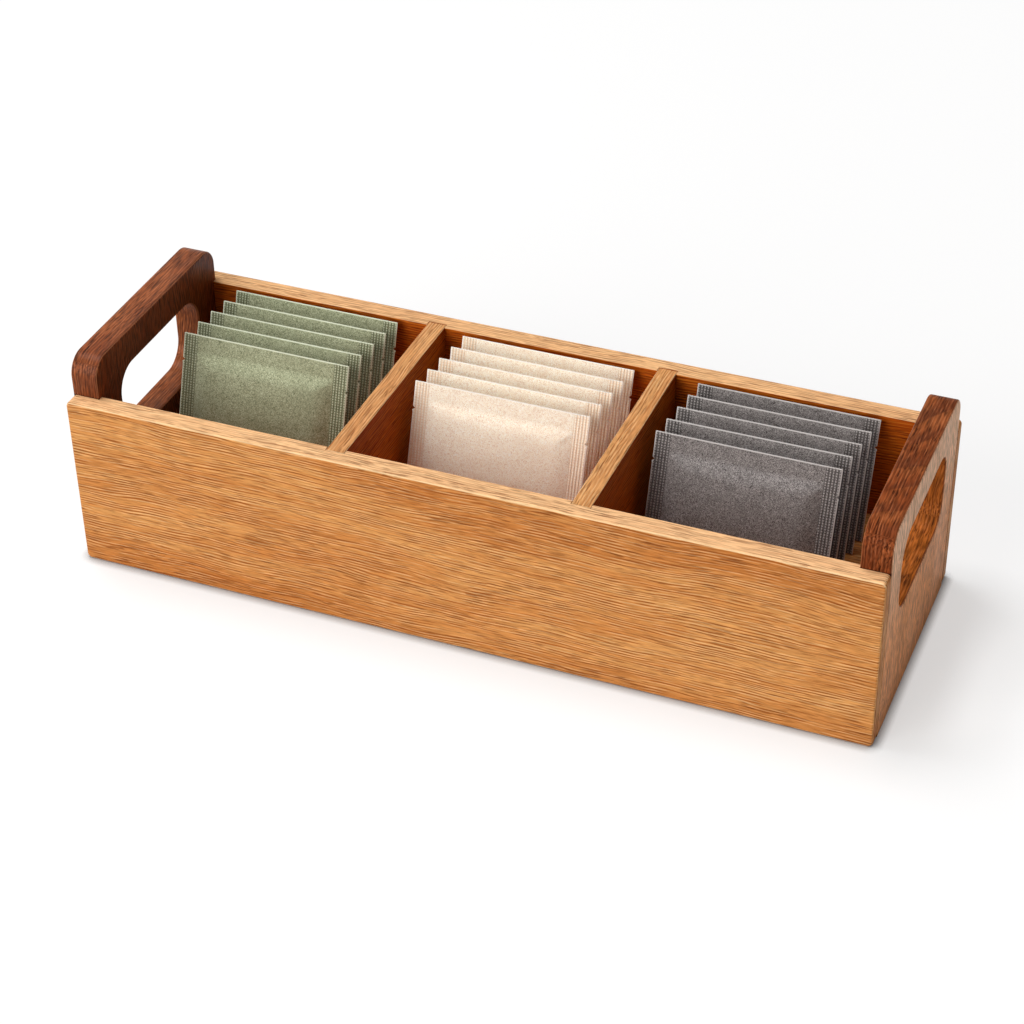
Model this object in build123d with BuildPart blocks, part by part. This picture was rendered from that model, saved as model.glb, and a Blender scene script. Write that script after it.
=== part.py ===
from build123d import *
import math
import os

# Open-topped organiser in two woods, with three bays of leaning paper sachets.
# Millimetres, +Z up, X along the length, -Y to the front.
# The origin is the centre of the box's footprint, on the surface that the box stands on.

# ---- driving dimensions: box ----
box_length = 340
box_width = 115
rim_height = 78
panel_thickness = 9
end_thickness = 12
end_height = 95
end_corner_radius = 9
divider_thickness = 8
left_divider_x = -53
right_divider_x = 49.5
housing_depth = 2.5
divider_side_clearance = 0.15
divider_end_clearance = 0.2
floor_thickness = 6
floor_top = 29.5
floor_end_clearance = 0.15

# ---- driving dimensions: hand hole in each end board ----
hole_length = 67
hole_height = 34.5
hole_centre_height = 62.5
hole_corner_radius = 11

# ---- driving dimensions: eased edges ----
panel_corner_radius = 2
panel_outer_easing = 1.1
panel_inner_easing = 0.4
end_outline_easing = 0.9
divider_easing = 0.4

# ---- driving dimensions: sachets ----
sachets_per_row = 5
sachet_width = 76
sachet_height = 51
sachet_lean = 19
sheet_thickness = 0.6
side_seal = 6.5
top_seal = 7
bottom_seal = 6
front_crown = 5.7
back_crown = 3.0
pad_edge_fullness = 0.04
pad_corner_draw_in = 1.6
pad_edge_steepness = 4
sachet_gap = 0.3
seat_clearance = 0.3
row_step_x = 1.2
green_row_shift = -1.8
cream_row_shift = -1.8
charcoal_row_shift = -5.9
notch_drop = 11.5
notch_width = 2.4
notch_depth = 1.3

# ---- worked out from the driving dimensions ----
outer_y = box_width / 2
inner_y = outer_y - panel_thickness
housing_y = inner_y + housing_depth
outer_x = box_length / 2
inner_x = outer_x - end_thickness
floor_bottom = floor_top - floor_thickness
slot_width = divider_thickness + 2 * divider_side_clearance
divider_positions = {"left": left_divider_x, "right": right_divider_x}
pad_stations = (0, 0.2, 0.5, 0.8, 1)

os.makedirs("parts", exist_ok=True)


def save(builder, name):
    """Labels a finished piece and writes it."""
    builder.part.label = name
    export_step(builder.part, f"parts/{name}.step")


# ---- front and back panels ----
# side is -1 for the front and +1 for the back
for name, side in (("front_panel", -1), ("back_panel", 1)):
    with BuildPart() as panel:
        with BuildSketch():
            with Locations((0, side * (outer_y - panel_thickness / 2))):
                Rectangle(box_length, panel_thickness)
        extrude(amount=rim_height)
        fillet(panel.edges().filter_by(Axis.Y), panel_corner_radius)
        # the plain board's broad faces, outer one first, give the edges that are eased
        broad_faces = panel.faces().sort_by(Axis((0, 0, 0), (0, -side, 0)))
        fillet(broad_faces[0].edges(), panel_outer_easing)
        fillet(broad_faces[-1].edges(), panel_inner_easing)
        # end rabbets, as deep as the divider housings
        with BuildSketch():
            with Locations((outer_x, 0), (-outer_x, 0)):
                Rectangle(2 * end_thickness, 2 * housing_y)
        extrude(amount=rim_height, mode=Mode.SUBTRACT)
        # divider housings, open at the rim
        with BuildSketch(Plane.XY.offset(floor_top)):
            with Locations((left_divider_x, 0), (right_divider_x, 0)):
                Rectangle(slot_width, 2 * housing_y)
        extrude(amount=rim_height - floor_top, mode=Mode.SUBTRACT)
        # groove for the floor board
        with BuildSketch(Plane.XY.offset(floor_bottom)):
            Rectangle(2 * (inner_x + housing_depth), 2 * housing_y)
        extrude(amount=floor_thickness, mode=Mode.SUBTRACT)
    save(panel, name)

# ---- end boards ----
# Each board's profile stands in the YZ plane and is extruded towards +X.
for name, board_start in (("left_end", -outer_x), ("right_end", inner_x)):
    with BuildPart() as end_board:
        with BuildSketch(Plane.YZ.offset(board_start)):
            with Locations((0, end_height / 2)):
                outline = Rectangle(2 * housing_y, end_height)
            top_corners = outline.vertices().sort_by(Axis.Y)[-2:]
            fillet(top_corners, end_corner_radius)
            with Locations((0, hole_centre_height)):
                RectangleRounded(hole_length, hole_height, hole_corner_radius, mode=Mode.SUBTRACT)
        extrude(amount=end_thickness)
        # every edge of both broad faces is eased, but for the two at the foot
        rims = end_board.faces().filter_by(Axis.X).edges().sort_by(Axis.Z)[2:]
        fillet(rims, end_outline_easing)
        # groove for the floor board
        with BuildSketch(Plane.XY.offset(floor_bottom)):
            Rectangle(2 * (inner_x + housing_depth), 2 * housing_y)
        extrude(amount=floor_thickness, mode=Mode.SUBTRACT)
    save(end_board, name)

# ---- floor board ----
with BuildPart() as floor_board:
    with BuildSketch(Plane.XY.offset(floor_bottom)):
        Rectangle(
            2 * (inner_x + housing_depth - floor_end_clearance),
            2 * (housing_y - floor_end_clearance),
        )
    extrude(amount=floor_thickness)
save(floor_board, "floor_board")

# ---- dividers ----
for side_name, divider_x in divider_positions.items():
    with BuildPart() as divider:
        with BuildSketch(Plane.XY.offset(floor_top)):
            with Locations((divider_x, 0)):
                Rectangle(divider_thickness, 2 * (housing_y - divider_end_clearance))
        extrude(amount=rim_height - floor_top)
        fillet(divider.faces().sort_by(Axis.Z)[-1].edges(), divider_easing)
    save(divider, f"divider_{side_name}")

# ---- sachets ----
# A sachet is drawn on its own leaning plane: local X along the box, local Y up the sheet, local Z to the front.
# The rearmost sachet's back crown just clears the top inner edge of the back panel, so each one can be drawn
# out along its own plane. The others stand in front of it, one crown, one back crown and one gap apart.
lean = math.radians(sachet_lean)
sheet_pitch = (front_crown + back_crown + sachet_gap) / math.cos(lean)
foot_height = floor_top + seat_clearance + sheet_thickness / 2 * math.sin(lean)
rear_y_at_rim = inner_y - (back_crown + sachet_gap) / math.cos(lean)
rear_foot_y = rear_y_at_rim - (rim_height - foot_height) * math.tan(lean)

pad_width = sachet_width - 2 * side_seal
pad_height = sachet_height - top_seal - bottom_seal

bay_centres = {
    "green": (-inner_x + left_divider_x - divider_thickness / 2) / 2 + green_row_shift,
    "cream": (left_divider_x + right_divider_x) / 2 + cream_row_shift,
    "charcoal": (inner_x + right_divider_x + divider_thickness / 2) / 2 + charcoal_row_shift,
}

for colour, row_x in bay_centres.items():
    for index in range(sachets_per_row):
        # index 0 is the front sachet; each one behind it stands a little further to the right
        behind = sachets_per_row - 1 - index
        foot = Vector(
            row_x + row_step_x * (index - (sachets_per_row - 1) / 2),
            rear_foot_y - behind * sheet_pitch,
            foot_height,
        )
        sheet_plane = Plane(origin=foot, x_dir=(1, 0, 0), z_dir=(0, -math.cos(lean), math.sin(lean)))
        with BuildPart() as sachet:
            with BuildSketch(sheet_plane):
                with Locations((0, sachet_height / 2)):
                    Rectangle(sachet_width, sachet_height)
                # V-shaped tear notches in both side seals
                for edge in (-1, 1):
                    notch_y = sachet_height - notch_drop
                    with BuildLine():
                        Polyline(
                            (edge * sachet_width / 2, notch_y - notch_width / 2),
                            (edge * (sachet_width / 2 - notch_depth), notch_y),
                            (edge * sachet_width / 2, notch_y + notch_width / 2),
                            close=True,
                        )
                    make_face(mode=Mode.SUBTRACT)
            extrude(amount=sheet_thickness / 2, both=True)
            # the filled pad: one section of two arcs at each station, lofted up the sheet
            for station in pad_stations:
                flatness = (2 * station - 1) ** pad_edge_steepness
                fullness = 1 - (1 - pad_edge_fullness) * flatness
                half = pad_width / 2 - pad_corner_draw_in * flatness
                section_height = bottom_seal + station * pad_height
                section_plane = Plane(
                    origin=sheet_plane.from_local_coords((0, section_height, 0)),
                    x_dir=(1, 0, 0),
                    z_dir=sheet_plane.y_dir,
                )
                with BuildSketch(section_plane):
                    with BuildLine():
                        ThreePointArc((-half, 0), (0, -fullness * front_crown), (half, 0))
                        ThreePointArc((half, 0), (0, fullness * back_crown), (-half, 0))
                    make_face()
            loft()
        save(sachet, f"{colour}_sachet_{index + 1}")
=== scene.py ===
"""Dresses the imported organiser: oak and walnut boards, leaning paper sachets, floor, lamps and camera.

Lengths are metres. X runs along the box, -Y faces the front and Z is up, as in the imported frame.
"""

import logging
import math
from dataclasses import dataclass, replace
from enum import Enum

import bmesh
import bpy
from mathutils import Euler, Matrix, Vector, noise


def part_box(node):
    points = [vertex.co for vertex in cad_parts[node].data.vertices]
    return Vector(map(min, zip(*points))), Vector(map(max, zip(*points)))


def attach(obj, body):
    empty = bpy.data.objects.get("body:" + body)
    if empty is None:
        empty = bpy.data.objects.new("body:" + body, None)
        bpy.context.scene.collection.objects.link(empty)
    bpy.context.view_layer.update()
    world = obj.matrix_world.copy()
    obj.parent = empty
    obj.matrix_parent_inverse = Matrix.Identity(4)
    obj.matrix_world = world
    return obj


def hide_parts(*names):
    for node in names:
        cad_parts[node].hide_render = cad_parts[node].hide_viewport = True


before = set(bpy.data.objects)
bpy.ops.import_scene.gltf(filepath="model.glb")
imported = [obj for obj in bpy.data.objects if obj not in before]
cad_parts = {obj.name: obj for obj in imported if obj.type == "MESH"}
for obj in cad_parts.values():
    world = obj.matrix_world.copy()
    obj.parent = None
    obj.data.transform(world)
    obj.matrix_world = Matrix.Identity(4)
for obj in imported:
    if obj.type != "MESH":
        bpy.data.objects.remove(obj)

LOG = logging.getLogger("organiser")

Colour = tuple[float, float, float, float]
Socket = bpy.types.NodeSocket
Feed = float | tuple[float, ...] | Socket
Feeds = dict[str | int, Feed]

WHITE = (1.0, 1.0, 1.0, 1.0)


def shade(red: int, green: int, blue: int) -> Colour:
    """Turns a colour as a screen shows it into the linear one that shaders take.

    Args:
        red: Screen red, 0 to 255.
        green: Screen green, 0 to 255.
        blue: Screen blue, 0 to 255.

    Returns:
        The linear colour with full alpha.
    """
    linear = []
    for level in (red, green, blue):
        # the standard curve of screens: a short straight foot and a power above it
        linear.append(((level / 255 + 0.055) / 1.055) ** 2.4 if level > 10 else level / 255 / 12.92)
    return (*linear, 1.0)


def add(name: str, data: bpy.types.Mesh | bpy.types.Light | bpy.types.Camera) -> bpy.types.Object:
    """Puts a mesh, a light or a camera into the scene and hands its object over."""
    added = bpy.data.objects.new(name, data)
    bpy.context.scene.collection.objects.link(added)
    return added


# ---------------------------------------------------------------- node recipes


class Axis(Enum):
    """A direction of the frame."""

    X = 0
    Y = 1
    Z = 2


class Maths(Enum):
    """The sums that a recipe can do on one or two numbers."""

    ADD = "ADD"
    SUBTRACT = "SUBTRACT"
    MULTIPLY = "MULTIPLY"
    DIVIDE = "DIVIDE"
    FRACTION = "FRACT"
    ABSOLUTE = "ABSOLUTE"
    GREATEST = "MAXIMUM"
    LEAST = "MINIMUM"
    ROOT = "SQRT"
    COSINE = "COSINE"


class Reading(Enum):
    """What a recipe can read off a surface, on its piece's own axes."""

    PLACE = "Object"
    DIRECTION = "Normal"


class Blend(Enum):
    """How a recipe lays one colour over another."""

    PLAIN = "MIX"
    DARKEN = "MULTIPLY"


@dataclass(frozen=True)
class Place:
    """A point of a board or sheet as three numbers: along its grain or width, across it and through it."""

    along: Feed
    across: Feed
    through: Feed


class Recipe:
    """Grows the nodes of one material, or of the world.

    Attributes:
        owner: What the nodes belong to.
    """

    def __init__(self, owner: bpy.types.Material | bpy.types.World) -> None:
        """Starts without a node.

        Args:
            owner: The new material or world.
        """
        self.owner = owner
        owner.use_nodes = True
        self._nodes = owner.node_tree.nodes
        self._links = owner.node_tree.links
        self._nodes.clear()

    def node(self, kind: str, feeds: Feeds | None = None, **settings: object) -> bpy.types.Node:
        """Adds a shader node.

        Args:
            kind: Blender's name of the node without its ShaderNode prefix.
            feeds: What goes into its sockets, by name or number.
            **settings: Its own properties.

        Returns:
            The new node.
        """
        made = self._nodes.new("ShaderNode" + kind)
        for name, value in settings.items():
            setattr(made, name, value)
        for socket, value in (feeds or {}).items():
            self.feed(made.inputs[socket], value)
        return made

    def feed(self, socket: Socket, value: Feed) -> None:
        """Links a socket to another one, or sets its value.

        Args:
            socket: The socket that is fed.
            value: A socket to link, or the value to set.
        """
        if isinstance(value, Socket):
            self._links.new(value, socket)
        else:
            socket.default_value = value

    def sum(self, operation: Maths, first: Feed, second: Feed = 0.0) -> Socket:
        """Does one sum on one or two numbers and gives its result."""
        return self.node("Math", {0: first, 1: second}, operation=operation.value).outputs[0]

    def less(self, first: Feed, second: Feed) -> Socket:
        """Takes the second number from the first."""
        return self.sum(Maths.SUBTRACT, first, second)

    def times(self, first: Feed, *others: Feed) -> Feed:
        """Multiplies numbers with one another."""
        for other in others:
            first = self.sum(Maths.MULTIPLY, first, other)
        return first

    def size(self, number: Feed) -> Socket:
        """Takes the sign off a number."""
        return self.sum(Maths.ABSOLUTE, number)

    def ease(self, value: Feed, start: float, end: float, low: float = 0.0, high: float = 1.0) -> Socket:
        """Eases a number from low to high.

        Args:
            value: The number that drives the result.
            start: Where the result leaves low.
            end: Where the result reaches high.
            low: The result up to start.
            high: The result from end on.

        Returns:
            The eased number.
        """
        limits = {"From Min": start, "From Max": end, "To Min": low, "To Max": high}
        eased = self.node("MapRange", {"Value": value, **limits}, interpolation_type="SMOOTHSTEP")
        return eased.outputs["Result"]

    def point(self, x: Feed, y: Feed, z: Feed) -> Socket:
        """Joins three numbers into a point."""
        return self.node("CombineXYZ", {0: x, 1: y, 2: z}).outputs[0]

    def parts(self, point: Socket) -> list[Socket]:
        """Splits a point into its three numbers."""
        return list(self.node("SeparateXYZ", {0: point}).outputs)

    def surface(self, reading: Reading) -> list[Socket]:
        """Reads the surface's place or direction as three numbers."""
        return self.parts(self.node("TexCoord").outputs[reading.value])

    def stretched(self, place: Place, along: float, across: float, through: float) -> Socket:
        """Measures a place in cells of a given size.

        Args:
            place: The place, in metres.
            along: Cell length, in metres.
            across: Cell width, in metres.
            through: Cell depth, in metres.

        Returns:
            The point whose unit is one cell.
        """
        sizes = zip((place.along, place.across, place.through), (along, across, through))
        return self.point(*(self.sum(Maths.DIVIDE, part, size) for part, size in sizes))

    def cloud(
        self,
        point: Socket,
        detail: float = 2.0,
        rough: float = 0.5,
        twist: float = 0.0,
        seed: Feed = 0.0,
    ) -> bpy.types.Node:
        """Adds smooth noise of one unit's size.

        Args:
            point: Where the noise is read.
            detail: How many finer layers it has.
            rough: How strong the finer layers are.
            twist: How far it is distorted by itself.
            seed: The fourth coordinate, which gives another pattern.

        Returns:
            The noise node, with the outputs Fac and Color.
        """
        layers = {"Scale": 1.0, "Detail": detail, "Roughness": rough, "Distortion": twist}
        return self.node("TexNoise", {"Vector": point, "W": seed, **layers}, noise_dimensions="4D")

    def paint(self, amount: Feed, under: Feed, over: Feed, blend: Blend = Blend.PLAIN) -> Socket:
        """Lays one colour over another.

        Args:
            amount: How much of the upper colour shows, 0 to 1.
            under: The lower colour.
            over: The upper colour.
            blend: How they combine.

        Returns:
            The mixed colour.
        """
        feeds = {"Factor": amount, 6: under, 7: over}
        return self.node("Mix", feeds, data_type="RGBA", blend_type=blend.value).outputs[2]

    def between(self, amount: Feed, first: Feed, second: Feed) -> Socket:
        """Slides from one number to another as amount goes from 0 to 1."""
        return self.node("Mix", {0: amount, 2: first, 3: second}, data_type="FLOAT").outputs[0]

    def relief(self, height: Feed, depth: float, below: Feed | None = None) -> Socket:
        """Turns a height into a bumped normal.

        Args:
            height: The height, in units of depth.
            depth: What one unit of height is, in metres.
            below: A bumped normal that this one adds to.

        Returns:
            The normal.
        """
        feeds = {"Height": height, "Distance": depth, "Strength": 1.0}
        if below is not None:
            feeds["Normal"] = below
        return self.node("Bump", feeds).outputs["Normal"]

    def eye_rays(self) -> Socket:
        """Gives 1 for what is seen straight on, in a gloss or through glass, and 0 for bounced light."""
        path = self.node("LightPath").outputs
        direct = self.sum(Maths.GREATEST, path["Is Camera Ray"], path["Is Glossy Ray"])
        return self.sum(Maths.GREATEST, direct, path["Is Transmission Ray"])

    def finish(self, shader: Socket) -> bpy.types.Material | bpy.types.World:
        """Puts the shader on its owner and hands that over."""
        kind = "OutputWorld" if isinstance(self.owner, bpy.types.World) else "OutputMaterial"
        self.node(kind, {"Surface": shader})
        return self.owner


# ---------------------------------------------------------------- finishes


@dataclass(frozen=True)
class Timber:
    """A planed and oiled wood.

    The figure is cut from rings about the log's heart, so that faces, edges and end grain agree.

    Attributes:
        name: The finish's name.
        spring: Colour of the pale, porous part of a ring.
        summer: Colour of the dense part of a ring.
        warm: Colour that drifts over broad patches.
        streak: Colour of the long dark streaks.
        line: Colour of the fine lines of the grain.
        pore: Colour down in the pores.
        pale: Colour of the painted sheen on faces that look up.
        worn: Colour of worn edges, which is wear with a painted highlight.
        inner: Painted shade, a tint that darkens and deepens the faces inside the box.
        ring_show: How far a ring's two colours differ, 0 to 1.
        drift: How far the lines wander sideways.
        drift_length: Length of one wander.
        line_pitch: Distance between the fine lines of the grain.
        wobble: How far the fine lines wave, in their own pitches.
        line_show: How dark the fine lines are, 0 to 1.
        fibre_show: How much single fibres vary, 0 to 1.
        streak_cell: Length and width of a streak.
        streak_show: How dark streaks are, 0 to 1.
        pore_cell: Length and width of a pore.
        pore_show: How dark pores are, 0 to 1.
        depth: How deep the pores are.
        smooth: Roughness of the oiled surface.
        wear_and_highlight: How pale worn edges are, as wear with a painted highlight, 0 to 1.
        gloss: Strength of the sheen.
        sheen_colour: Colour of the painted sheen at the foot of an outer broad face.
        sheen_top_colour: Colour of the painted sheen at its top.
        core: Colour of the painted glow of bounced light in a hand hole.
    """

    name: str
    spring: Colour
    summer: Colour
    warm: Colour
    streak: Colour
    line: Colour
    pore: Colour
    pale: Colour
    worn: Colour
    inner: Colour
    ring_show: float
    drift: float
    drift_length: float
    line_pitch: float
    wobble: float
    line_show: float
    fibre_show: float
    streak_cell: tuple[float, float]
    streak_show: float
    pore_cell: tuple[float, float]
    pore_show: float
    depth: float
    smooth: float
    wear_and_highlight: float
    gloss: float
    sheen_colour: Colour = WHITE
    sheen_top_colour: Colour = WHITE
    core: Colour = WHITE


OAK = Timber(
    name="honey_oak",
    spring=shade(209, 148, 85),
    summer=shade(196, 127, 64),
    warm=shade(182, 108, 47),
    streak=shade(160, 88, 34),
    line=shade(148, 78, 26),
    pore=shade(112, 52, 14),
    pale=shade(255, 208, 156),
    worn=shade(255, 226, 176),
    inner=shade(232, 168, 82),
    ring_show=0.5,
    drift=0.001,
    drift_length=0.05,
    line_pitch=0.00125,
    wobble=2.0,
    line_show=0.9,
    fibre_show=0.16,
    streak_cell=(0.02, 0.0016),
    streak_show=0.2,
    pore_cell=(0.009, 0.0006),
    pore_show=0.6,
    depth=0.00014,
    smooth=0.5,
    wear_and_highlight=0.65,
    gloss=0.08,
)

WALNUT = Timber(
    name="red_walnut",
    spring=shade(143, 78, 42),
    summer=shade(90, 44, 26),
    warm=shade(126, 60, 28),
    streak=shade(82, 38, 20),
    line=shade(72, 32, 16),
    pore=shade(42, 18, 9),
    pale=shade(196, 132, 92),
    worn=shade(196, 132, 92),
    inner=shade(255, 236, 200),
    ring_show=0.75,
    drift=0.0026,
    drift_length=0.05,
    line_pitch=0.0013,
    wobble=1.2,
    line_show=0.65,
    fibre_show=0.45,
    streak_cell=(0.03, 0.0014),
    streak_show=0.75,
    pore_cell=(0.009, 0.0007),
    pore_show=0.8,
    depth=0.00006,
    smooth=0.36,
    wear_and_highlight=0.35,
    gloss=0.12,
    sheen_colour=shade(240, 162, 98),
    sheen_top_colour=shade(255, 204, 162),
    core=shade(196, 110, 40),
)


@dataclass(frozen=True)
class Paper:
    """A soft, fibrous wrapping paper.

    Attributes:
        name: The finish's name, which is also its material slot.
        base: The paper's colour.
        pale: Colour of the pale fibres.
        deep: Colour of the dark fibres.
        pit: Colour of the pressed pits of the seals.
        cut: Colour of the cut edges, painted as a highlight there, on the narrow rim beside them and on the
            seals' knob tops.
    """

    name: str
    base: Colour
    pale: Colour
    deep: Colour
    pit: Colour
    cut: Colour


class Blends(Enum):
    """The three papers of the sachets."""

    GREEN = Paper(
        name="green_paper",
        base=shade(154, 157, 125),
        pale=shade(196, 200, 166),
        deep=shade(104, 110, 78),
        pit=shade(78, 84, 54),
        cut=shade(228, 234, 208),
    )
    CREAM = Paper(
        name="cream_paper",
        base=shade(255, 243, 217),
        pale=shade(255, 249, 240),
        deep=shade(226, 194, 168),
        pit=shade(238, 206, 174),
        cut=shade(255, 248, 238),
    )
    CHARCOAL = Paper(
        name="charcoal_paper",
        base=shade(121, 114, 112),
        pale=shade(166, 159, 156),
        deep=shade(58, 52, 50),
        pit=shade(50, 45, 44),
        cut=shade(206, 201, 198),
    )


# ---------------------------------------------------------------- boards


@dataclass(frozen=True)
class Board:
    """One wooden piece, which stays as the frame has it and gets its grain.

    Attributes:
        node: The frame's node.
        timber: Its wood.
        grain: The direction that its fibres run in.
        face: The direction that its broad faces look in, or the face that its worn edges turn from where
            outward is 0.
        outward: The side of face that looks out of the box, or 0 where its sides look into the bays.
        heart: Where the log's heart lies, across and through the board.
        rake: How fast the heart moves across the board, in metres per metre of length.
        seed: A number that gives the board its own pattern.
        ring: Width of one ring.
        top_sheen: How far its top takes the painted sheen, 0 to 1.
        fade: How far its outer face takes the painted sheen, 0 to 1.
        hole_glow_show: How far the painted glow of bounced light shows in its hand hole, 0 to 1.
        low_rub: How far edges that don't look up are painted pale, 0 to 1; those that look up get the full
            wear and painted highlight.
        joined: True where its front and back edges meet the panels in a dark joint.
    """

    node: str
    timber: Timber
    grain: Axis
    face: Axis
    outward: float
    heart: tuple[float, float]
    rake: float
    seed: float
    ring: float = 0.0058
    top_sheen: float = 0.0
    fade: float = 0.0
    hole_glow_show: float = 0.0
    low_rub: float = 0.18
    joined: bool = False

    def dress(self) -> bpy.types.Object:
        """Gives the node its wood.

        Returns:
            The node's object.
        """
        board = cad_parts[self.node]
        board.data.materials.clear()
        board.data.materials.append(BoardWood(self).grow())
        return board


class Figure(Enum):
    """The noises of a board's figure: their finer layers, and a number for a pattern of their own."""

    PATCH = (2.5, 0.0)
    FIBRE = (1.0, 1.0)
    STREAK = (2.0, 2.0)
    PORE = (1.0, 3.0)
    WOBBLE = (1.5, 4.0)
    BREAK = (1.5, 5.0)


class BoardWood(Recipe):
    """Grows the wood of one board.

    Attributes:
        board: The board.
        wood: Its timber.
        place: The surface's place in the frame, as three numbers.
        normal: The surface's direction, as three numbers.
    """

    # An ease is kept as its start and end, and with its low and high where it doesn't go from 0 to 1.

    # lengths and widths of the noises' cells that both woods share, and their roughness and wander
    PATCH_CELL = (0.17, 0.018)
    FIBRE_CELL = (0.006, 0.0007)
    WOBBLE_CELL = (0.036, 0.0045)
    BREAK_CELL = (0.015, 0.0012)
    FIGURE_ROUGH = 0.6
    WANDER_DETAIL = 1.5

    # which way a face looks, by its direction's share: along the axis, against it, aside, or past 45 degrees
    FLAT_ON = (0.6, 0.95)
    INWARD = (-0.5, -0.9)
    SQUARE_TO = (0.6, 0.2)
    TURNED = (0.69, 0.72)

    # the end grain's figure is drawn out, and its lines wave less
    END_STRETCH = 9.0
    END_WOBBLE = 0.5

    # the phases in which a ring grows dense, and pale again at once
    RING_RISE = (0.15, 0.85)
    RING_FALL = (0.9, 1.0, 1.0, 0.0)

    # what the noises become: patches, streaks, pores, fibres, the lines' dashes, and where pores crowd
    WARM = (0.4, 0.68, 0.0, 0.75)
    STREAKS = (0.5, 0.68)
    PORES = (0.53, 0.66)
    FIBRES = (0.25, 0.75)
    DASHES = (0.38, 0.62, 0.15, 1.0)
    CROWD_BY_RING = (0.0, 1.0, 1.0, 0.5)
    CROWD_BY_PATCH = (0.3, 0.65, 0.55, 1.0)

    # the fine lines: pale between them, dark on them, and fainter on faces that look up
    PALE_LINES = (-0.1, -0.9)
    PALE_SHARE = 0.25
    DARK_LINES = (0.0, 0.85)
    LINES_LOOKING_UP = 0.6

    # relief, in depths of a pore, and roughness about the timber's own
    FIBRE_RISE = 0.3
    LINE_SINK = 0.4
    ROUGH_BY_PATCH = (0.2, 0.8)
    SMOOTHER = 0.05
    ROUGHER = 0.08
    PORE_ROUGH = 0.2

    # how pale an edge is painted, as wear with a painted highlight: by its turn from the flat, by the
    # patches and, for the highlight, by how far it looks up
    RUBBED_TURN = (0.08, 0.24)
    RUB_BY_PATCH = (0.3, 0.6, 0.5, 1.0)
    HIGHLIGHT_LOOKING_UP = (0.0, 0.4)

    # the heights between which the painted sheen of an outer face changes colour, and the share of the dark
    # figure that it hides
    SHEEN_HEIGHTS = (0.03, 0.09)
    FIGURE_LOSS = 0.55

    # the hand hole's half length and top, and the joints with the panels below the rim
    HOLE_HALF = 0.034
    HOLE_TOP = 0.0805
    JOINT_Y = 0.0501
    JOINT_WIDTH = 0.0007
    JOINT_SHOW = 0.8
    RIM = 0.078

    def __init__(self, board: Board) -> None:
        """Starts the board's own material.

        Args:
            board: The board.
        """
        super().__init__(bpy.data.materials.new(f"{board.timber.name}_{board.node}"))
        self.board = board
        self.wood = board.timber
        self.place = self.surface(Reading.PLACE)
        self.normal = self.surface(Reading.DIRECTION)

    def grow(self) -> bpy.types.Material:
        """Grows the wood.

        Returns:
            The material.
        """
        wood = self.wood
        bent, fine = self._places()
        ring = self._ring(bent)
        patch = self._noise(bent, self.PATCH_CELL, Figure.PATCH)
        fibre = self._noise(fine, self.FIBRE_CELL, Figure.FIBRE)
        kept = self._kept()
        crowd = self.times(self.ease(ring, *self.CROWD_BY_RING), self.ease(patch, *self.CROWD_BY_PATCH))
        crowd = self.times(crowd, kept)
        streaks = self.ease(self._noise(fine, wood.streak_cell, Figure.STREAK), *self.STREAKS)
        streaks = self.times(streaks, crowd)
        pores = self.ease(self._noise(fine, wood.pore_cell, Figure.PORE), *self.PORES)
        pores = self.times(pores, crowd)
        lines = self.times(self._lines(fine), kept)

        colour = self._ground(ring, patch)
        colour = self.paint(self.times(streaks, wood.streak_show), colour, wood.streak)
        colour = self._drawn(colour, lines)
        colour = self.paint(self.times(pores, wood.pore_show), colour, wood.pore)
        grey = self.ease(fibre, *self.FIBRES, 1 - wood.fibre_show, 1 + wood.fibre_show)
        colour = self.paint(1.0, colour, self.point(grey, grey, grey), Blend.DARKEN)
        # painted shade: the faces that look into the bays are darkened and deepened as if shaded
        colour = self.paint(self._bay_shade_mask(), colour, wood.inner, Blend.DARKEN)
        # pale edges: wear, with a painted highlight that is fuller where the edges look up
        colour = self._edges(colour, patch)

        depth = self.less(self.times(fibre, self.FIBRE_RISE), pores)
        depth = self.less(depth, self.times(lines, self.LINE_SINK))
        smoothest, roughest = wood.smooth - self.SMOOTHER, wood.smooth + self.ROUGHER
        rough = self.ease(patch, *self.ROUGH_BY_PATCH, smoothest, roughest)
        feeds = {
            "Base Color": colour,
            "Roughness": self.sum(Maths.ADD, rough, self.times(pores, self.PORE_ROUGH)),
            "Normal": self.relief(depth, wood.depth),
            # the gloss is lowered on boards whose outer face has a painted sheen
            "Specular IOR Level": wood.gloss * (1 - self.board.fade),
        }
        return self.finish(self.node("BsdfPrincipled", feeds).outputs["BSDF"])

    def _along(self, parts: list[Socket]) -> list[Socket]:
        """Orders three numbers of the frame as along, across and through the grain."""
        first = self.board.grain.value
        return parts[first:] + parts[:first]

    def _endwise(self, low: float, high: float) -> Socket:
        """Gives low on the faces along the grain and high on the end grain."""
        return self.ease(self.size(self._along(self.normal)[0]), *self.TURNED, low, high)

    def _places(self) -> tuple[Place, Place]:
        """Measures the surface along, across and through the grain, bent by the wander of the lines.

        Returns:
            The bent place, and the one for the fine figure, which is drawn out on the end grain.
        """
        wood = self.wood
        plain = Place(*self._along(self.place))
        cell = self.stretched(plain, wood.drift_length, wood.drift_length / 2, wood.drift_length / 2)
        wander = self.parts(self.cloud(cell, self.WANDER_DETAIL, seed=self.board.seed).outputs["Color"])
        across, through = (
            self.sum(Maths.ADD, part, self.ease(by, 0.0, 1.0, -2 * wood.drift, 2 * wood.drift))
            for part, by in zip((plain.across, plain.through), wander)
        )
        straight = self.between(self._endwise(0.0, 1.0), across, plain.across)
        drawn = self.times(through, self._endwise(1.0, 1 / self.END_STRETCH))
        return Place(plain.along, across, through), Place(plain.along, straight, drawn)

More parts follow.
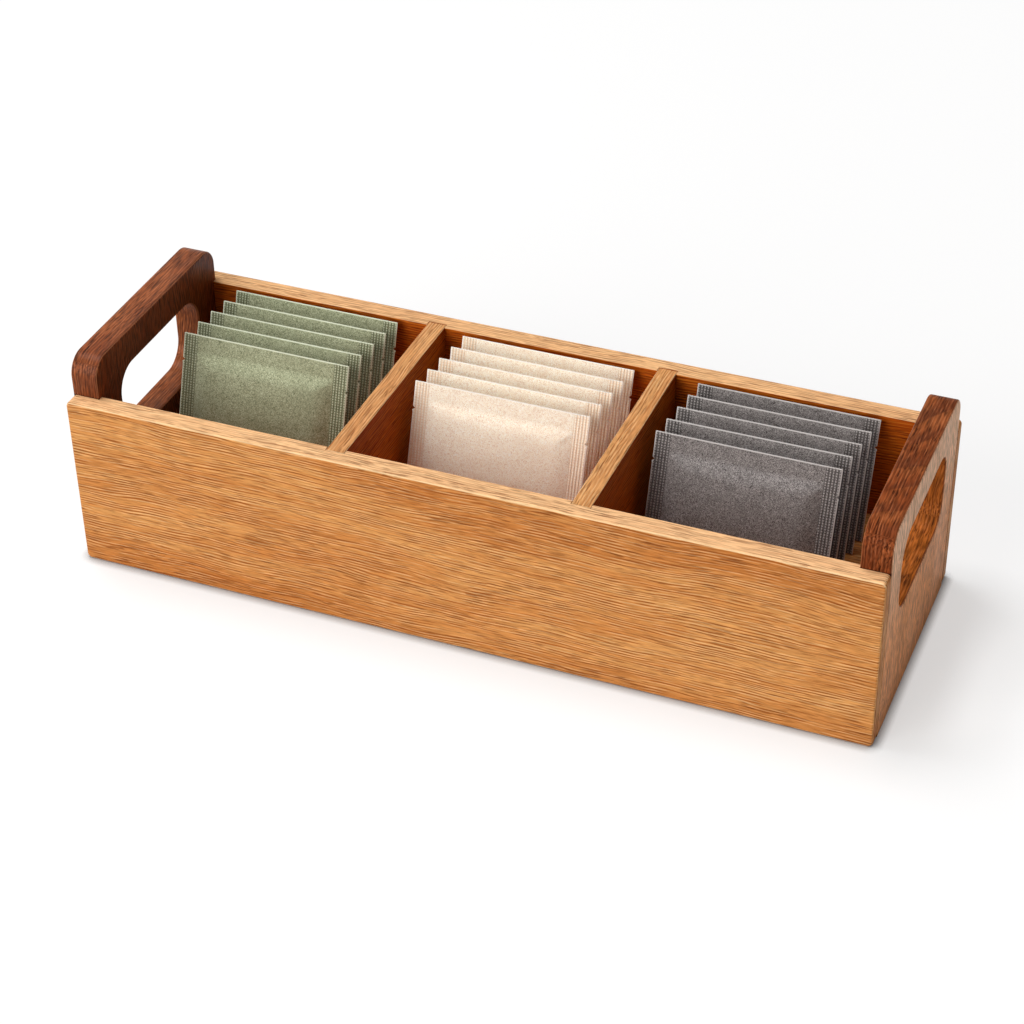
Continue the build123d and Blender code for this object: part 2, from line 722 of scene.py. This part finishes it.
    def _noise(self, place: Place, cell: tuple[float, float], figure: Figure) -> Socket:
        """Draws noise that is stretched along the grain.

        Args:
            place: Where it is read.
            cell: Length and width of its cells.
            figure: Which of the board's noises it is.

        Returns:
            The noise, about 0.5 in the mean.
        """
        length, width = cell
        detail, own = figure.value
        cells = self.stretched(place, length, width, width)
        return self.cloud(cells, detail, self.FIGURE_ROUGH, seed=self.board.seed + own).outputs["Fac"]

    def _ring(self, bent: Place) -> Socket:
        """Cuts the log's rings.

        Args:
            bent: The place bent by the wander of the lines.

        Returns:
            0 in the pale part of a ring and 1 in its dense part.
        """
        heart_across, heart_through = self.board.heart
        raked = self.less(bent.across, self.times(bent.along, self.board.rake))
        across = self.less(raked, heart_across)
        through = self.less(bent.through, heart_through)
        squares = self.sum(Maths.ADD, self.times(across, across), self.times(through, through))
        turns = self.sum(Maths.DIVIDE, self.sum(Maths.ROOT, squares), self.board.ring)
        phase = self.sum(Maths.FRACTION, turns)
        return self.times(self.ease(phase, *self.RING_RISE), self.ease(phase, *self.RING_FALL))

    def _lines(self, fine: Place) -> Socket:
        """Draws the fine lines of the grain, broken into dashes.

        Args:
            fine: The place for the fine figure.

        Returns:
            1 on a line and -1 half way to the next one, nearer to 0 where the dashes break.
        """
        sideways = self.ease(self.size(self._along(self.normal)[1]), *self.TURNED)
        side = self.between(sideways, fine.across, fine.through)
        wobble = self._noise(fine, self.WOBBLE_CELL, Figure.WOBBLE)
        wobble = self.times(wobble, self._endwise(self.wood.wobble, self.END_WOBBLE))
        turns = self.sum(Maths.ADD, self.sum(Maths.DIVIDE, side, self.wood.line_pitch), wobble)
        comb = self.sum(Maths.COSINE, self.times(turns, 2 * math.pi))
        return self.times(comb, self.ease(self._noise(fine, self.BREAK_CELL, Figure.BREAK), *self.DASHES))

    def _outside(self) -> Socket:
        """Gives 1 on the outer broad face, 0 on the edges and -1 on the face inside the box."""
        return self.times(self.normal[self.board.face.value], self.board.outward)

    def _facing(self) -> Socket:
        """Gives 1 on both broad faces and 0 square to them."""
        return self.size(self.normal[self.board.face.value])

    def _bay_shade_mask(self) -> Socket:
        """Marks the faces that look into the bays, where shade is painted."""
        if self.board.outward:
            return self.ease(self._outside(), *self.INWARD)
        return self.ease(self._facing(), *self.SQUARE_TO)

    def _upward(self, low: float, high: float) -> Socket:
        """Gives high on the faces that look up and low on those that look aside."""
        looking_up = self.ease(self.normal[Axis.Z.value], *self.FLAT_ON)
        return self.ease(looking_up, 0.0, 1.0, low, high)

    def _kept(self) -> Feed:
        """Gives how much of the dark figure is left, which is 1 but on an outer face under its painted
        sheen.
        """
        if not self.board.fade:
            return 1.0
        return self.ease(self._outside(), *self.FLAT_ON, 1.0, 1 - self.FIGURE_LOSS * self.board.fade)

    def _ground(self, ring: Socket, patch: Socket) -> Socket:
        """Lays the broad colours: rings, warm patches, the painted sheen on the top and on the outer face,
        and the painted glow in the hand hole.

        Args:
            ring: 0 in the pale part of a ring and 1 in its dense part.
            patch: The broad noise.

        Returns:
            The colour.
        """
        wood, board = self.wood, self.board
        colour = self.paint(self.ease(ring, 0.0, 1.0, high=wood.ring_show), wood.spring, wood.summer)
        colour = self.paint(self.ease(patch, *self.WARM), colour, wood.warm)
        # painted sheen: faces that look up are painted paler
        colour = self.paint(self._upward(0.0, board.top_sheen), colour, wood.pale)
        # painted sheen: the outer broad face is painted paler, more so towards its top
        if board.fade:
            height = self.place[Axis.Z.value]
            sheen_colour = self.paint(self.ease(height, *self.SHEEN_HEIGHTS), wood.sheen_colour, wood.sheen_top_colour)
            colour = self.paint(self.ease(self._outside(), *self.FLAT_ON, high=board.fade), colour, sheen_colour)
        # painted bounced light: the walls of the hand hole are painted a glowing orange
        if board.hole_glow_show:
            colour = self.paint(self._hole(), colour, wood.core)
        return colour

    def _drawn(self, colour: Socket, lines: Socket) -> Socket:
        """Draws the fine lines on the colour.

        Args:
            colour: The colour under them.
            lines: 1 on a line and -1 between two.

        Returns:
            The colour with its lines.
        """
        wood = self.wood
        pale = self.ease(lines, *self.PALE_LINES, high=wood.line_show * self.PALE_SHARE)
        colour = self.paint(pale, colour, wood.worn)
        dark = self.times(self.ease(lines, *self.DARK_LINES), self._upward(1.0, self.LINES_LOOKING_UP))
        return self.paint(self.times(dark, wood.line_show), colour, wood.line)

    def _edges(self, colour: Socket, patch: Socket) -> Socket:
        """Paints the eased edges pale, as wear with a painted highlight, and darkens the joints.

        Args:
            colour: The colour of the flat wood.
            patch: The broad noise, which breaks the rubbing up.

        Returns:
            The colour with its edges.
        """
        wood = self.wood
        facing = self._facing()
        square = self.less(1.0, self.times(facing, facing))
        aside = self.sum(Maths.ROOT, self.sum(Maths.GREATEST, square, 0.0))
        turned = self.less(1.0, self.sum(Maths.GREATEST, facing, aside))
        low_rub = self.ease(self.normal[Axis.Z.value], *self.HIGHLIGHT_LOOKING_UP, self.board.low_rub, 1.0)
        # wear with a painted highlight on the eased edges
        edge_wear_and_highlight = self.ease(turned, *self.RUBBED_TURN, high=wood.wear_and_highlight)
        edge_wear_and_highlight = self.times(edge_wear_and_highlight, self.ease(patch, *self.RUB_BY_PATCH), low_rub)
        if not self.board.joined:
            return self.paint(edge_wear_and_highlight, colour, wood.worn)
        joint = self.times(self._beside(self.JOINT_Y), self._below(self.RIM))
        colour = self.paint(self.times(edge_wear_and_highlight, self.less(1.0, joint)), colour, wood.worn)
        return self.paint(self.times(joint, self.JOINT_SHOW), colour, wood.pore)

    def _hole(self) -> Socket:
        """Gives how far the painted glow of bounced light shows on the walls of the hand hole, and 0
        elsewhere.
        """
        walls = self.ease(self._facing(), *self.SQUARE_TO, high=self.board.hole_glow_show)
        within = self.less(1.0, self._beside(self.HOLE_HALF))
        return self.times(within, walls, self._below(self.HOLE_TOP))

    def _beside(self, distance: float) -> Socket:
        """Gives 1 further from the box's middle plane than a distance, and 0 nearer to it."""
        return self.ease(self.size(self.place[Axis.Y.value]), distance, distance + self.JOINT_WIDTH)

    def _below(self, height: float) -> Socket:
        """Gives 1 below a height and 0 above it."""
        return self.ease(self.place[Axis.Z.value], height + self.JOINT_WIDTH, height)


@dataclass(frozen=True)
class WoodenBox:
    """The box's seven boards: oak panels, dividers and floor between walnut ends."""

    boards: tuple[Board, ...] = (
        Board(
            node="front_panel", timber=OAK, grain=Axis.X, face=Axis.Y, outward=-1,
            heart=(-0.034, 0.035), rake=0.055, seed=0.31, top_sheen=0.68,
        ),
        Board(
            node="back_panel", timber=OAK, grain=Axis.X, face=Axis.Y, outward=1,
            heart=(0.09, 0.03), rake=-0.04, seed=1.37, top_sheen=0.55,
        ),
        Board(
            node="divider_left", timber=OAK, grain=Axis.Y, face=Axis.Z, outward=0,
            heart=(0.06, 0.01), rake=0.05, seed=2.21, top_sheen=0.2,
        ),
        Board(
            node="divider_right", timber=OAK, grain=Axis.Y, face=Axis.Z, outward=0,
            heart=(0.05, 0.12), rake=-0.03, seed=3.05, top_sheen=0.15,
        ),
        Board(
            node="floor_board", timber=OAK, grain=Axis.X, face=Axis.Z, outward=0,
            heart=(0.02, -0.04), rake=0.02, seed=4.4,
        ),
        Board(
            node="left_end", timber=WALNUT, grain=Axis.Z, face=Axis.X, outward=-1,
            heart=(-0.36, 0.0), rake=0.25, seed=5.13, ring=0.04,
            fade=0.3, hole_glow_show=0.1, low_rub=1.0, joined=True,
        ),
        Board(
            node="right_end", timber=WALNUT, grain=Axis.Z, face=Axis.X, outward=1,
            heart=(0.084, 0.0905), rake=-0.1, seed=6.02, ring=0.012,
            fade=0.85, hole_glow_show=0.55, low_rub=1.0, joined=True,
        ),
    )

    def dress(self) -> None:
        """Dresses every board and reports it."""
        for board in self.boards:
            LOG.info("dressed %s in %s", board.dress().name, board.timber.name)


# ---------------------------------------------------------------- sachets


@dataclass(frozen=True)
class Sachet:
    """One sealed paper sachet: a flat sheet of two plies that swells into a soft pad between its seals.

    Its own axes are X across, Y up the sheet and Z out of its front, from the middle of its foot.

    Attributes:
        node: The frame's node that it stands for, which is also its body.
        paper: Its paper.
        batch: A number that sets its small differences.
        width: Width of the sheet.
        height: Height of the sheet.
        ply: Thickness of the sheet at its seals.
        lean: How far it leans back, in radians.
        side_seal: Width of the ribbed seals.
        top_seal: Height of the plain strip above the pad.
        top_reach: How far below that strip the pad's top slope ends.
        bottom_seal: Height of the plain strip below the pad.
        front_crown: How far the pad swells to the front.
        back_crown: How far the pad swells to the back.
        ribs: Number of ribs in each side seal.
        rib_height: Height of a rib.
        notch_drop: How far the tear notch lies below the top.
        notch_half: Half the notch's height.
        notch_depth: How deep the notch cuts in.
    """

    node: str
    paper: Paper
    batch: int
    width: float = 0.076
    height: float = 0.051
    ply: float = 0.0006
    lean: float = math.radians(19)
    side_seal: float = 0.0065
    top_seal: float = 0.0076
    top_reach: float = 0.007
    bottom_seal: float = 0.006
    front_crown: float = 0.0050
    back_crown: float = 0.0026
    ribs: int = 5
    rib_height: float = 0.00022
    notch_drop: float = 0.0115
    notch_half: float = 0.0008
    notch_depth: float = 0.001

    # the mesh: columns to a rib and across the pad, height of a row, and the angle of a sharp edge
    RIB_STEPS = 6
    PAD_STEPS = 48
    ROW = 0.0012
    SHARP = math.radians(50)

    # the pad: reach and fullness of its slopes, how softly they meet, and their share beside the dome
    SIDE_REACH = 0.009
    FULLNESS = 1.8
    HIP = 0.1
    HIP_SHARE = 0.72

    # the folds that fan out of the pad's corners
    CRIMP = 0.00022
    CRIMP_RISE = 0.0015
    CRIMP_REACH = 0.008
    CRIMP_FOLDS = 9
    CRIMP_SHIFT = 1.7

    # the crumple of the pad, with a finer one on it
    CRUMPLE = 0.00016
    CRUMPLE_CELL = 0.011
    CRUMPLE_RISE = 3
    FINE_CRUMPLE = 2.3
    FINE_SHARE = 0.5
    PLY_SHIFT = 0.5

    # the bow of the whole sheet, and how far its waves go across
    BOW = 0.00018
    BOW_WAVES = 2.2

    # the notch: the flap below it, reckoned in half notches, and how many depths in the sheet gives way
    FLAP = 0.0002
    FLAP_ENDS = (-2.5, -0.5)
    GIVE = 2.5

    def build(self) -> bpy.types.Object:
        """Makes the sachet, stands it in its node's place and lets it ride on its body.

        Returns:
            The sachet.
        """
        mesh = bpy.data.meshes.new(self.node + "_paper")
        self._sew(mesh)
        batch = mesh.attributes.new("batch", "FLOAT", "POINT")
        batch.data.foreach_set("value", [float(self.batch)] * len(mesh.vertices))
        sachet = add(mesh.name, mesh)
        sachet.matrix_world = self._stand()
        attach(sachet, self.node)
        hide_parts(self.node)
        return sachet

    def _stand(self) -> Matrix:
        """Works out where the sachet's foot stands from its node's box.

        Returns:
            The sachet's place in the frame.
        """
        low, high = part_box(self.node)
        rise, run = math.cos(self.lean), math.sin(self.lean)
        foot = Vector((
            (low.x + high.x) / 2,
            high.y - self.height * run - self.ply / 2 * rise,
            low.z + self.ply / 2 * run,
        ))
        upright = math.pi / 2 - self.lean
        return Matrix.Translation(foot) @ Matrix.Rotation(upright, 4, "X")

    def _columns(self) -> list[float]:
        """Places the mesh's columns, close together over the ribs.

        Returns:
            The columns' places across the sheet.
        """
        half, pad = self.width / 2, self.width / 2 - self.side_seal
        steps = self.ribs * self.RIB_STEPS
        seal = [pad + self.side_seal * step / steps for step in range(1, steps + 1)]
        middle = [pad * (2 * step / self.PAD_STEPS - 1) for step in range(self.PAD_STEPS + 1)]
        return [-place for place in reversed(seal)] + middle + seal

    def _rows(self) -> list[float]:
        """Places the mesh's rows, with some on the seals' edges and on the notch.

        Returns:
            The rows' places up the sheet.
        """
        notch = [self.height - self.notch_drop + step * self.notch_half for step in range(-2, 3)]
        marks = [0.0, self.bottom_seal, *notch, self.height - self.top_seal, self.height]
        rows = [marks[0]]
        for start, end in zip(marks, marks[1:]):
            steps = max(1, round((end - start) / self.ROW))
            rows += [start + (end - start) * step / steps for step in range(1, steps + 1)]
        return rows

    def _swell(self, across: float, up: float) -> float:
        """Shapes the pad.

        Args:
            across: Place across the sheet.
            up: Place up the sheet.

        Returns:
            0 at the seals and about 1 at the pad's middle.
        """
        half_width = self.width / 2 - self.side_seal
        top, bottom = self.height - self.top_seal, self.bottom_seal
        inside = half_width - abs(across), top - up, up - bottom
        if min(inside) <= 0:
            return 0.0
        reach = self.SIDE_REACH, self.top_reach, self.SIDE_REACH
        slopes = [1 - (1 - min(depth / far, 1.0)) ** self.FULLNESS for depth, far in zip(inside, reach)]
        hip = slopes[0]
        for slope in slopes[1:]:
            overlap = max(self.HIP - abs(hip - slope), 0.0) / self.HIP
            hip = min(hip, slope) - overlap * overlap * self.HIP / 4
        middle = (top + bottom) / 2
        dome = (1 - (across / half_width) ** 2) * (1 - ((up - middle) / (top - middle)) ** 2)
        return max(0.0, self.HIP_SHARE * hip + (1 - self.HIP_SHARE) * dome)

    def _crimps(self, across: float, up: float) -> float:
        """Fans small folds out of the pad's corners.

        Args:
            across: Place across the sheet.
            up: Place up the sheet.

        Returns:
            The folds' height.
        """
        half_width = self.width / 2 - self.side_seal
        height = 0.0
        for side in (-1, 1):
            for corner, turn in ((self.height - self.top_seal, -1), (self.bottom_seal, 1)):
                inward, along = side * (side * half_width - across), turn * (up - corner)
                if inward <= 0 or along <= 0:
                    continue
                distance = math.hypot(inward, along)
                turns = self.CRIMP_FOLDS * math.atan2(along, inward) + self.CRIMP_SHIFT * self.batch
                fading = math.exp(-((distance / self.CRIMP_REACH) ** 2))
                strength = min(1.0, distance / self.CRIMP_RISE) * fading
                height += self.CRIMP * strength * math.sin(turns + side)
        return height

    def _surface(self, across: float, up: float, front: bool) -> float:
        """Gives one ply's height off the sheet's middle plane.

        Args:
            across: Place across the sheet.
            up: Place up the sheet.
            front: True for the front ply, False for the back one.

        Returns:
            The signed height.
        """
        half = self.width / 2
        pad = half - self.side_seal
        swell = self._swell(across, up)
        ply = self.batch + (self.PLY_SHIFT if front else 0.0)
        crumple = noise.noise(Vector((across, up, ply)) / self.CRUMPLE_CELL)
        finer = Vector((across, up, self.batch)) * self.FINE_CRUMPLE / self.CRUMPLE_CELL
        crumple += self.FINE_SHARE * noise.noise(finer)
        rise = self.ply / 2 + self._crimps(across, up)
        if abs(across) > pad:
            turns = (abs(across) - pad) / self.side_seal * self.ribs
            rise -= self.rib_height / 2 * math.cos(2 * math.pi * turns)
        rise += swell * (self.front_crown if front else self.back_crown)
        rise += self.CRUMPLE * crumple * min(1.0, self.CRUMPLE_RISE * swell)
        height_share = up / self.height
        bow = self.BOW * height_share * math.sin(math.pi * height_share + self.batch)
        bow *= math.cos(self.BOW_WAVES * across / half + self.batch)
        return (rise if front else -rise) + bow

    def _outline(self, across: float, up: float) -> float:
        """Draws the side edges in at the tear notches, below which a small flap stands out.

        Args:
            across: Place across the plain sheet.
            up: Place up the sheet.

        Returns:
            The place across the notched sheet.
        """
        half = self.width / 2
        from_notch = (up - (self.height - self.notch_drop)) / self.notch_half
        cut = self.notch_depth * max(0.0, 1 - abs(from_notch))
        flap_start, flap_end = self.FLAP_ENDS
        if flap_start < from_notch < flap_end:
            cut -= self.FLAP * max(0.0, 1 - abs(from_notch + 1))
        band = self.GIVE * self.notch_depth
        share = max(0.0, abs(across) - (half - band)) / band
        return math.copysign(abs(across) - cut * share, across)

    def _sew(self, mesh: bpy.types.Mesh) -> None:
        """Fills a mesh with the front ply, the back ply and the cut edge between them.

        Args:
            mesh: The mesh to fill.
        """
        shell = bmesh.new()
        columns, rows = self._columns(), self._rows()
        plies = []
        for front in (True, False):
            plies.append([
                [
                    shell.verts.new((self._outline(across, up), up, self._surface(across, up, front)))
                    for across in columns
                ]
                for up in rows
            ])
        for ply, flip in zip(plies, (1, -1)):
            for lower, upper in zip(ply, ply[1:]):
                for left in range(len(columns) - 1):
                    corners = (lower[left], lower[left + 1], upper[left + 1], upper[left])
                    shell.faces.new(corners[::flip])
        rims = [self._rim(ply) for ply in plies]
        for start in range(len(rims[0])):
            end = (start + 1) % len(rims[0])
            shell.faces.new((rims[0][start], rims[1][start], rims[1][end], rims[0][end]))
        shell.normal_update()
        bmesh.ops.recalc_face_normals(shell, faces=shell.faces)
        for face in shell.faces:
            face.smooth = True
        shell.to_mesh(mesh)
        shell.free()
        mesh.set_sharp_from_angle(angle=self.SHARP)

    @staticmethod
    def _rim(ply: list[list[bmesh.types.BMVert]]) -> list[bmesh.types.BMVert]:
        """Walks once round a ply's edge.

        Args:
            ply: The ply's vertices, row by row.

        Returns:
            The edge's vertices in order.
        """
        right = [row[-1] for row in ply[1:]]
        left = [row[0] for row in ply[-2:0:-1]]
        return ply[0] + right + ply[-1][-2::-1] + left


class PaperWrap(Recipe):
    """Grows a paper for sachets of one form.

    Attributes:
        paper: The paper.
        form: A sachet whose seals the pressed pits follow.
    """

    # An ease is kept as its start and end, and with its low and high where it doesn't go from 0 to 1.

    # the fibres: size, noise, where they turn pale and dark, and how far they stand up
    FIBRE = 0.0006
    FIBRE_NOISE = {"detail": 1.5, "rough": 0.6, "twist": 2.4}
    PALE_FIBRES = (0.5, 0.62)
    DARK_FIBRES = (0.5, 0.38)
    TOOTH = 0.00008

    # the broad blotches: size, and how dark they are
    BLOTCH = 0.006
    BLOTCHES = (0.4, 0.75, 0.0, 0.2)

    # the waffle of the seals: its rows, depth, edge, grooves and knobs, and how much the grooves' colour and
    # the painted highlight on the knobs show
    PIT_PITCH = 0.0011
    PRESS = 0.00006
    SEAL_EDGE = (-0.0001, 0.0002)
    GROOVE = (-0.1, 0.6)
    CROSS_GROOVE = (0.0, 0.8, 0.0, 0.75)
    KNOB_ACROSS = (-0.1, -0.9)
    KNOB_UP = (0.2, -0.7)
    KNOB_HIGHLIGHT = 0.45
    PIT_SHOW = 0.7

    # the painted highlight on the cut edge and on the narrow rim beside it
    EDGE_ON = (0.45, 0.2)
    RIM = 0.0005
    RIM_HIGHLIGHT = 0.9

    # roughness by the fibres, and the sheen
    ROUGHNESS = (0.3, 0.7, 0.78, 0.66)
    GLOSS = 0.35
    SHEEN = 0.12
    SHEEN_ROUGHNESS = 0.5

    def __init__(self, paper: Paper, form: Sachet) -> None:
        """Starts the paper's material.

        Args:
            paper: The paper.
            form: A sachet whose seals the pressed pits follow.
        """
        super().__init__(bpy.data.materials.new(paper.name))
        self.paper = paper
        self.form = form

    def grow(self) -> bpy.types.Material:
        """Grows the paper.

        Returns:
            The material.
        """
        paper = self.paper
        place = Place(*self.surface(Reading.PLACE))
        batch = self.node("Attribute", attribute_name="batch").outputs["Fac"]
        cells = self.stretched(place, self.FIBRE, self.FIBRE, self.FIBRE)
        fibre = self.cloud(cells, seed=batch, **self.FIBRE_NOISE).outputs["Fac"]
        cells = self.stretched(place, self.BLOTCH, self.BLOTCH, self.BLOTCH)
        blotch = self.cloud(cells, seed=batch).outputs["Fac"]
        pits, knob_highlights = self._seals(place)

        colour = self.paint(self.ease(fibre, *self.PALE_FIBRES), paper.base, paper.pale)
        colour = self.paint(self.ease(fibre, *self.DARK_FIBRES), colour, paper.deep)
        colour = self.paint(self.ease(blotch, *self.BLOTCHES), colour, paper.deep)
        # painted highlight on each knob of the seals
        colour = self.paint(self.times(knob_highlights, self.KNOB_HIGHLIGHT), colour, paper.cut)
        colour = self.paint(self.times(pits, self.PIT_SHOW), colour, paper.pit)
        # painted highlight on the cut edge and the narrow rim beside it
        colour = self.paint(self._rim(place), colour, paper.cut)

        pressed = self.less(1.0, pits)
        feeds = {
            "Base Color": colour,
            "Roughness": self.ease(fibre, *self.ROUGHNESS),
            "Specular IOR Level": self.GLOSS,
            "Sheen Weight": self.SHEEN,
            "Sheen Roughness": self.SHEEN_ROUGHNESS,
            "Normal": self.relief(pressed, self.PRESS, self.relief(fibre, self.TOOTH)),
        }
        return self.finish(self.node("BsdfPrincipled", feeds).outputs["BSDF"])

    def _rim(self, place: Place) -> Socket:
        """Marks the cut edge and the narrow rim beside it, where a highlight is painted, but for the one at
        the foot.

        Args:
            place: The place on the sheet.

        Returns:
            1 on the cut edge, nearly that on the rim and 0 elsewhere.
        """
        outward = self.surface(Reading.DIRECTION)[Axis.Z.value]
        cut = self.ease(self.size(outward), *self.EDGE_ON)
        to_side = self.less(self.form.width / 2, self.size(place.along))
        to_top = self.less(self.form.height, place.across)
        nearest = self.sum(Maths.LEAST, to_side, to_top)
        rim = self.ease(nearest, self.RIM, self.RIM / 2, high=self.RIM_HIGHLIGHT)
        return self.sum(Maths.GREATEST, cut, rim)

    def _seals(self, place: Place) -> tuple[Socket, Socket]:
        """Presses a small waffle into the side seals.

        Args:
            place: The place on the sheet.

        Returns:
            1 in the waffle's grooves and 0 elsewhere, and 1 on each knob, where a highlight is painted, and
            0 elsewhere.
        """
        form = self.form
        inside = self.less(self.size(place.along), form.width / 2 - form.side_seal)
        across = self._wave(inside, form.side_seal / form.ribs)
        up = self._wave(place.across, self.PIT_PITCH)
        in_seal = self.ease(inside, *self.SEAL_EDGE)
        grooves = self.ease(across, *self.GROOVE), self.ease(up, *self.CROSS_GROOVE)
        pits = self.sum(Maths.GREATEST, *grooves)
        knob_highlights = self.times(self.ease(across, *self.KNOB_ACROSS), self.ease(up, *self.KNOB_UP))
        return self.times(in_seal, pits), self.times(in_seal, knob_highlights)

    def _wave(self, length: Feed, pitch: float) -> Socket:
        """Turns a length into a wave of a given pitch."""
        return self.sum(Maths.COSINE, self.times(length, 2 * math.pi / pitch))


@dataclass(frozen=True)
class SachetRow:
    """One bay's row of sachets, counted from the front.

    Attributes:
        colour: The word that the nodes' names start with.
        paper: The row's paper.
        first_batch: The front sachet's batch number.
        crown: How far its pads swell to the front.
        rear_top_seal: Height of the plain strip of the sachets behind, whose pads sit higher.
        rear_top_reach: How far below that strip their pads' top slopes end.
        count: How many sachets stand in the row.
    """

    colour: str
    paper: Paper
    first_batch: int
    crown: float = 0.0038
    rear_top_seal: float = 0.0052
    rear_top_reach: float = 0.016
    count: int = 5

    def build(self) -> None:
        """Builds the row and reports each sachet."""
        front = Sachet(f"{self.colour}_sachet_1", self.paper, self.first_batch, front_crown=self.crown)
        rear = replace(front, top_seal=self.rear_top_seal, top_reach=self.rear_top_reach)
        sachets = [front]
        for index in range(1, self.count):
            name = f"{self.colour}_sachet_{index + 1}"
            sachets.append(replace(rear, node=name, batch=self.first_batch + index))
        material = PaperWrap(self.paper, front).grow()
        for sachet in sachets:
            made = sachet.build()
            made.data.materials.append(material)
            LOG.info("built %s in %s", made.name, self.paper.name)


# ---------------------------------------------------------------- studio


@dataclass(frozen=True)
class Floor:
    """The pale floor under the box.

    Attributes:
        half: Half of its side.
        bounce: How much light it throws back at the box.
        seen: Its colour for the eye.
        glow: What it adds for the eye, so that it shows white away from the shadow.
        contact: How far from the foot of the box the added light fades out.
        openness: How open the floor is where the added light starts, and where it is in full.
        samples: How many looks around the openness takes.
    """

    half: float = 6.0
    bounce: float = 0.8
    seen: float = 0.41
    glow: float = 0.575
    contact: float = 0.0045
    openness: tuple[float, float] = (0.5, 1.0)
    samples: int = 4

    def build(self) -> bpy.types.Object:
        """Lays the floor.

        Returns:
            The floor.
        """
        mesh = bpy.data.meshes.new("studio_floor")
        corners = [(x * self.half, y * self.half, 0) for x, y in ((-1, -1), (1, -1), (1, 1), (-1, 1))]
        mesh.from_pydata(corners, [], [(0, 1, 2, 3)])
        mesh.materials.append(self._material())
        floor = add(mesh.name, mesh)
        return floor

    def _material(self) -> bpy.types.Material:
        """Makes a floor that shows white but throws a plain level of light.

        Returns:
            The material.
        """
        recipe = Recipe(bpy.data.materials.new("studio_floor"))
        bounced, seen = (
            recipe.node("BsdfDiffuse", {"Color": (level, level, level, 1.0)}).outputs[0]
            for level in (self.bounce, self.seen)
        )
        around = {"Distance": self.contact}
        openness = recipe.node("AmbientOcclusion", around, samples=self.samples).outputs["AO"]
        strength = recipe.ease(openness, *self.openness, high=self.glow)
        glow = recipe.node("Emission", {"Color": WHITE, "Strength": strength}).outputs[0]
        lit = recipe.node("AddShader", {0: seen, 1: glow}).outputs[0]
        mixed = recipe.node("MixShader", {0: recipe.eye_rays(), 1: bounced, 2: lit})
        return recipe.finish(mixed.outputs[0])


@dataclass(frozen=True)
class Softbox:
    """A square lamp behind cloth.

    Attributes:
        name: Its name.
        place: Where it hangs.
        side: Its side.
        watts: Its power.
        tint: Its colour.
        aim: What it points at.
    """

    name: str
    place: tuple[float, float, float]
    side: float
    watts: float
    tint: tuple[float, float, float]
    aim: tuple[float, float, float] = (0.0, 0.0, 0.05)

    def hang(self) -> bpy.types.Object:
        """Hangs the lamp.

        Returns:
            The lamp.
        """
        light = bpy.data.lights.new(self.name, "AREA")
        light.shape = "SQUARE"
        light.size = self.side
        light.energy = self.watts
        light.color = self.tint
        lamp = add(self.name, light)
        lamp.location = self.place
        lamp.rotation_euler = (Vector(self.aim) - Vector(self.place)).to_track_quat("-Z", "Y").to_euler()
        return lamp


@dataclass(frozen=True)
class Studio:
    """Floor, lamps, surrounding light and camera.

    Attributes:
        lamps: The lamps.
        sky: Strength of the light from all round.
        sky_tint: Its colour.
        camera_place: Where the camera stands.
        camera_turn: Its tilt, roll and pan, in degrees.
        lens: Its focal length, in millimetres.
        sensor: Its sensor's width, in millimetres.
    """

    lamps: tuple[Softbox, ...] = (
        Softbox("key_softbox", place=(-1.75, 0.35, 5.0), side=2.4, watts=195.0, tint=(0.985, 1.0, 1.02)),
        Softbox("fill_softbox", place=(-1.3, -2.6, 1.3), side=2.2, watts=80.0, tint=(1.0, 0.995, 0.975)),
    )
    sky: float = 0.2
    sky_tint: Colour = (1.0, 0.94, 0.88, 1.0)
    camera_place: tuple[float, float, float] = (0.31618, -0.76001, 0.62589)
    camera_turn: tuple[float, float, float] = (53.998, 0.9, 21.918)
    lens: float = 87.023
    sensor: float = 36.0

    def build(self) -> None:
        """Sets up the floor, the lamps, the surrounding light and the camera."""
        Floor().build()
        for lamp in self.lamps:
            lamp.hang()
        self._surround()
        self._camera()
        LOG.info("lit the studio with %d lamps", len(self.lamps))

    def _surround(self) -> None:
        """Makes the surroundings, which light the box evenly and show white to the eye."""
        recipe = Recipe(bpy.data.worlds.new("studio_air"))
        eye = recipe.eye_rays()
        colour = recipe.paint(eye, self.sky_tint, WHITE)
        strength = recipe.between(eye, self.sky, 1.0)
        air = recipe.node("Background", {"Color": colour, "Strength": strength})
        bpy.context.scene.world = recipe.finish(air.outputs[0])

    def _camera(self) -> None:
        """Stands the camera where the whole box shows from its front right."""
        optics = bpy.data.cameras.new("studio_camera")
        optics.lens = self.lens
        optics.sensor_width = self.sensor
        camera = add(optics.name, optics)
        camera.location = self.camera_place
        camera.rotation_euler = Euler([math.radians(angle) for angle in self.camera_turn])
        bpy.context.scene.camera = camera


def main() -> None:
    logging.basicConfig(level=logging.INFO, format="%(name)s: %(message)s")
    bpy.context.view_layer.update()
    bpy.context.scene.view_settings.view_transform = "Standard"
    Studio().build()
    WoodenBox().dress()
    SachetRow("green", Blends.GREEN.value, 1).build()
    SachetRow("cream", Blends.CREAM.value, 11, crown=0.0019).build()
    SachetRow("charcoal", Blends.CHARCOAL.value, 21).build()


if __name__ == "__main__":
    main()
